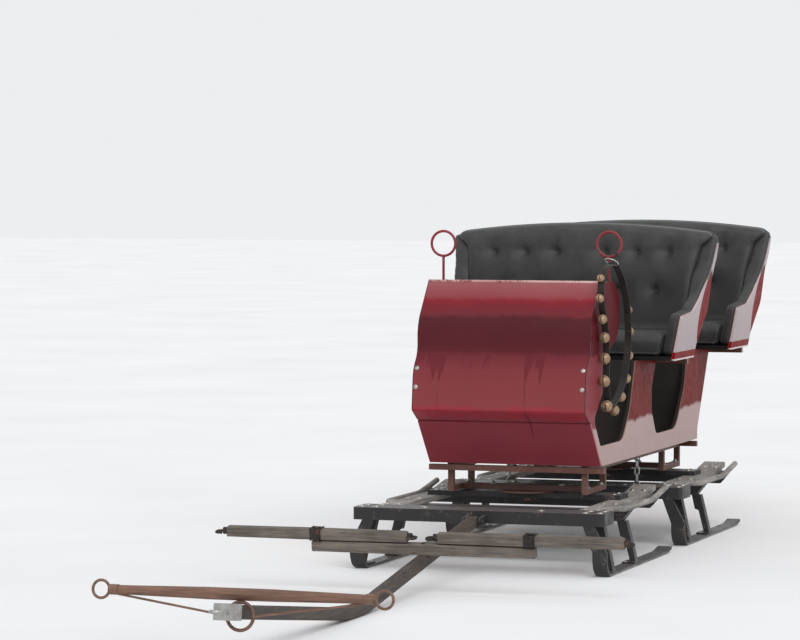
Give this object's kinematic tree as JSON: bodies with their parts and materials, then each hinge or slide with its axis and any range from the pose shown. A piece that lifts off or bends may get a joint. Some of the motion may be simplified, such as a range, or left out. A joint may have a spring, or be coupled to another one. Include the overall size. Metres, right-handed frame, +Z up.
{
  "type": "horse drawn sleigh",
  "caption": "Horse drawn bob sleigh with wide tufted bench seats, a curved red dash, open door cut-outs, steering front bob and a bent pole with evener and neck yoke.",
  "frame": {"origin": "on the floor under the middle of the whole sleigh and its pole", "axes": "+Z up, +Y to the sleigh's rear, +X to the sleigh's left; the pole points along -Y"},
  "size_m": [1.686, 5.5984, 1.3819],
  "materials": {
    "bell_brass": "tarnished brass",
    "black_paint": "black enamel, satin",
    "bob_paint": "black enamel on steel, scuffed",
    "bright_iron": "galvanised iron fitting",
    "floor_board": "black painted boards, worn",
    "frame_paint": "dark red enamel on square steel tube",
    "iron": "dark forged iron",
    "pole_wood": "dark weathered ash",
    "red_paint": "deep red carriage enamel, glossy, over sheet metal and board",
    "ring_paint": "red enamel on round bar",
    "rubber": "black rubber blocks",
    "seat_side_paint": "deep red enamel with a satin darker crescent and a pale fine line",
    "strap_leather": "dark harness leather",
    "vinyl": "black upholstery vinyl, deep buttoned",
    "weathered_wood": "grey weathered hardwood",
    "yoke_wood": "oiled brown hickory"
  },
  "bodies": {
    "sleigh": {"bell_strap": "strap_leather", "dash_panel": "red_paint", "floor_pan": "floor_board", "front_back_pad": "vinyl", "front_cradle": "frame_paint", "front_seat_cushion": "vinyl", "front_seat_riser": "black_paint", "front_seat_shell": "red_paint", "front_seat_side_left": "seat_side_paint", "front_seat_side_right": "seat_side_paint", "front_wing_pads": "vinyl", "grab_rings": "ring_paint", "kick_board": "red_paint", "limit_chains": "bright_iron", "rear_back_pad": "vinyl", "rear_board": "red_paint", "rear_bob_crossbars": "bob_paint", "rear_bob_planks": "weathered_wood", "rear_bolster": "bob_paint", "rear_cradle": "frame_paint", "rear_runner_left": "bob_paint", "rear_runner_right": "bob_paint", "rear_seat_cushion": "vinyl", "rear_seat_riser": "black_paint", "rear_seat_shell": "red_paint", "rear_seat_side_left": "seat_side_paint", "rear_seat_side_right": "seat_side_paint", "rear_wing_pads": "vinyl", "side_panel_left": "red_paint", "side_panel_right": "red_paint", "sill_frame": "frame_paint", "sleigh_bells": "bell_brass"},
    "front_bob": {"front_bob_crossbars": "bob_paint", "front_bob_planks": "weathered_wood", "front_bolster": "bob_paint", "front_runner_left": "bob_paint", "front_runner_right": "bob_paint"},
    "pole": {"pole": "pole_wood", "pole_tip": "bright_iron"},
    "evener": {"evener": "weathered_wood"},
    "singletree_left": {"singletree_left": "weathered_wood", "trace_hooks_left": "iron"},
    "singletree_right": {"singletree_right": "weathered_wood", "trace_hooks_right": "iron"},
    "neck_yoke": {"neck_yoke": "yoke_wood"}
  },
  "joints": [
    {"name": "steer", "type": "hinge", "parent": "sleigh", "child": "front_bob", "pos_m": [0, 0.81222, 0.272], "axis": [0, 0, 1], "range_deg": [-20, 20]},
    {"name": "pole_lift", "type": "hinge", "parent": "front_bob", "child": "pole", "pos_m": [0, 0.03022, 0.214], "axis": [-1, 0, 0], "range_deg": [0, 40]},
    {"name": "evener_swing", "type": "hinge", "parent": "pole", "child": "evener", "pos_m": [0, -0.59695, 0.14962], "axis": [0, -0.1399, 0.9902], "range_deg": [-20, 20]},
    {"name": "singletree_left_swing", "type": "hinge", "parent": "evener", "child": "singletree_left", "pos_m": [0.43, -0.60344, 0.19556], "axis": [0, -0.1399, 0.9902], "range_deg": [-20, 20]},
    {"name": "singletree_right_swing", "type": "hinge", "parent": "evener", "child": "singletree_right", "pos_m": [-0.43, -0.60344, 0.19556], "axis": [0, -0.1399, 0.9902], "range_deg": [-20, 20]},
    {"name": "neck_yoke_swing", "type": "hinge", "parent": "pole", "child": "neck_yoke", "pos_m": [0, -2.55407, 0.17545], "axis": [0, 0.1211, 0.9926], "range_deg": [-20, 20]}
  ]
}
